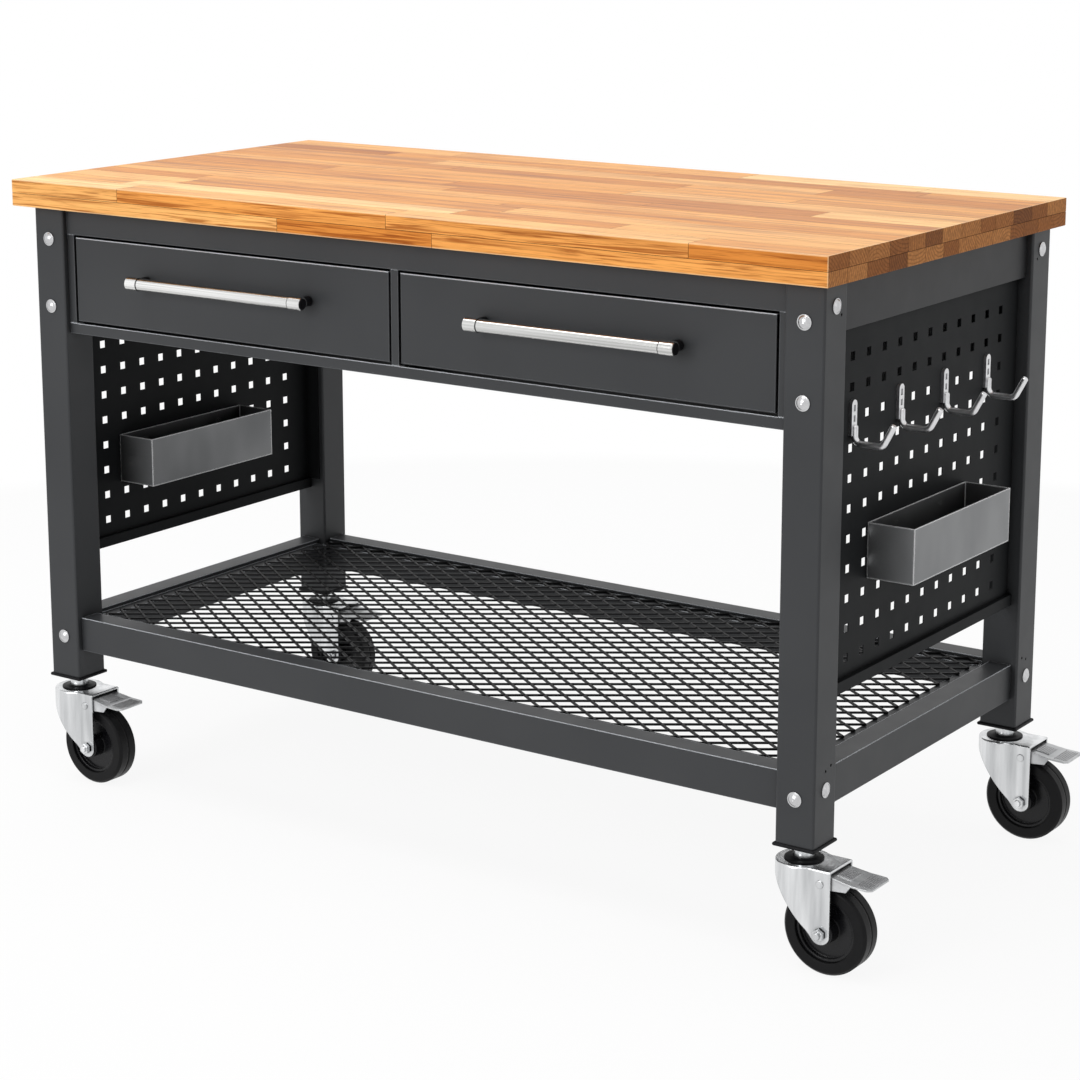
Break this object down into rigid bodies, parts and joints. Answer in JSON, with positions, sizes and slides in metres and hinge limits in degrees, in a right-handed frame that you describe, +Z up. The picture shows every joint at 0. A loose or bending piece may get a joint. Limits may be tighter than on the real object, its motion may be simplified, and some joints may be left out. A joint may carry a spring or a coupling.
{
  "type": "mobile workbench",
  "caption": "Steel-framed workbench with a butcher-block top, drawers, perforated side panels with bins and hooks, a mesh shelf and braked swivel casters.",
  "frame": {"origin": "on the floor, under the middle of the whole bench with its casters as drawn", "axes": "+X to the right along the worktop, +Y to the rear, +Z up"},
  "size_m": [1.276, 0.61, 0.828],
  "materials": {
    "butcher_block": "oiled",
    "dark_powder_coat": "satin",
    "black_mesh": "satin",
    "bin_steel": "satin",
    "handle_steel": "brushed",
    "dark_post": "satin",
    "bright_chrome": "polished",
    "zinc_steel": "satin",
    "black_plastic": "matte",
    "black_tyre": "matte"
  },
  "bodies": {
    "frame": {"apron_left": "dark_powder_coat", "apron_rear": "dark_powder_coat", "apron_right": "dark_powder_coat", "bin_left": "bin_steel", "bin_right": "bin_steel", "case_divider": "dark_powder_coat", "case_face_frame": "dark_powder_coat", "case_side_walls": "dark_powder_coat", "case_top_rail": "dark_powder_coat", "caster_dust_rings": "black_plastic", "caster_stems": "zinc_steel", "frame_bolts": "bright_chrome", "leg_end_caps": "black_plastic", "leg_front_left": "dark_powder_coat", "leg_front_right": "dark_powder_coat", "leg_rear_left": "dark_powder_coat", "leg_rear_right": "dark_powder_coat", "peg_hooks": "bright_chrome", "peg_panel_left": "dark_powder_coat", "peg_panel_right": "dark_powder_coat", "runner_outer_members": "zinc_steel", "shelf_mesh": "black_mesh", "shelf_rail_front": "dark_powder_coat", "shelf_rail_left": "dark_powder_coat", "shelf_rail_rear": "dark_powder_coat", "shelf_rail_right": "dark_powder_coat", "worktop": "butcher_block", "worktop_screws": "zinc_steel"},
    "drawer_left": {"drawer_left_front": "dark_powder_coat", "drawer_left_box": "dark_powder_coat", "drawer_left_handle_bar": "handle_steel", "drawer_left_handle_posts": "dark_post", "drawer_left_runner_inner": "zinc_steel"},
    "runner_left": {"drawer_left_runner_middle": "zinc_steel"},
    "drawer_right": {"drawer_right_front": "dark_powder_coat", "drawer_right_box": "dark_powder_coat", "drawer_right_handle_bar": "handle_steel", "drawer_right_handle_posts": "dark_post", "drawer_right_runner_inner": "zinc_steel"},
    "runner_right": {"drawer_right_runner_middle": "zinc_steel"},
    "caster_front_left": {"caster_front_left_fork": "zinc_steel", "caster_front_left_axle": "zinc_steel"},
    "wheel_front_left": {"caster_front_left_hub": "black_plastic", "caster_front_left_tyre": "black_tyre"},
    "brake_front_left": {"caster_front_left_pedal": "zinc_steel"},
    "caster_front_right": {"caster_front_right_fork": "zinc_steel", "caster_front_right_axle": "zinc_steel"},
    "wheel_front_right": {"caster_front_right_hub": "black_plastic", "caster_front_right_tyre": "black_tyre"},
    "brake_front_right": {"caster_front_right_pedal": "zinc_steel"},
    "caster_rear_left": {"caster_rear_left_fork": "zinc_steel", "caster_rear_left_axle": "zinc_steel"},
    "wheel_rear_left": {"caster_rear_left_hub": "black_plastic", "caster_rear_left_tyre": "black_tyre"},
    "brake_rear_left": {"caster_rear_left_pedal": "zinc_steel"},
    "caster_rear_right": {"caster_rear_right_fork": "zinc_steel", "caster_rear_right_axle": "zinc_steel"},
    "wheel_rear_right": {"caster_rear_right_hub": "black_plastic", "caster_rear_right_tyre": "black_tyre"},
    "brake_rear_right": {"caster_rear_right_pedal": "zinc_steel"}
  },
  "joints": [
    {"name": "drawer_left_slide", "type": "slide", "parent": "frame", "child": "drawer_left", "axis": [0, -1, 0], "range_m": [0, 0.43]},
    {"name": "runner_left_slide", "type": "slide", "parent": "frame", "child": "runner_left", "axis": [0, -1, 0], "range_m": [0, 0.215]},
    {"name": "drawer_right_slide", "type": "slide", "parent": "frame", "child": "drawer_right", "axis": [0, -1, 0], "range_m": [0, 0.43]},
    {"name": "runner_right_slide", "type": "slide", "parent": "frame", "child": "runner_right", "axis": [0, -1, 0], "range_m": [0, 0.215]},
    {"name": "swivel_front_left", "type": "hinge", "parent": "frame", "child": "caster_front_left", "pos_m": [-0.597, -0.256, 0.129], "axis": [0, 0, 1], "continuous": true},
    {"name": "wheel_spin_front_left", "type": "hinge", "parent": "caster_front_left", "child": "wheel_front_left", "pos_m": [-0.561, -0.256, 0.053], "axis": [0, 1, 0], "continuous": true},
    {"name": "brake_press_front_left", "type": "hinge", "parent": "caster_front_left", "child": "brake_front_left", "pos_m": [-0.562, -0.256, 0.1125], "axis": [0, 1, 0], "range_deg": [0, 10]},
    {"name": "swivel_front_right", "type": "hinge", "parent": "frame", "child": "caster_front_right", "pos_m": [0.54, -0.256, 0.129], "axis": [0, 0, 1], "continuous": true},
    {"name": "wheel_spin_front_right", "type": "hinge", "parent": "caster_front_right", "child": "wheel_front_right", "pos_m": [0.576, -0.256, 0.053], "axis": [0, 1, 0], "continuous": true},
    {"name": "brake_press_front_right", "type": "hinge", "parent": "caster_front_right", "child": "brake_front_right", "pos_m": [0.575, -0.256, 0.1125], "axis": [0, 1, 0], "range_deg": [0, 10]},
    {"name": "swivel_rear_left", "type": "hinge", "parent": "frame", "child": "caster_rear_left", "pos_m": [-0.597, 0.272, 0.129], "axis": [0, 0, 1], "continuous": true},
    {"name": "wheel_spin_rear_left", "type": "hinge", "parent": "caster_rear_left", "child": "wheel_rear_left", "pos_m": [-0.561, 0.272, 0.053], "axis": [0, 1, 0], "continuous": true},
    {"name": "brake_press_rear_left", "type": "hinge", "parent": "caster_rear_left", "child": "brake_rear_left", "pos_m": [-0.562, 0.272, 0.1125], "axis": [0, 1, 0], "range_deg": [0, 10]},
    {"name": "swivel_rear_right", "type": "hinge", "parent": "frame", "child": "caster_rear_right", "pos_m": [0.54, 0.272, 0.129], "axis": [0, 0, 1], "continuous": true},
    {"name": "wheel_spin_rear_right", "type": "hinge", "parent": "caster_rear_right", "child": "wheel_rear_right", "pos_m": [0.576, 0.272, 0.053], "axis": [0, 1, 0], "continuous": true},
    {"name": "brake_press_rear_right", "type": "hinge", "parent": "caster_rear_right", "child": "brake_rear_right", "pos_m": [0.575, 0.272, 0.1125], "axis": [0, 1, 0], "range_deg": [0, 10]}
  ],
  "couplings": [
    {"joint": "runner_left_slide", "follows": "drawer_left_slide", "ratio": 0.5},
    {"joint": "runner_right_slide", "follows": "drawer_right_slide", "ratio": 0.5}
  ]
}
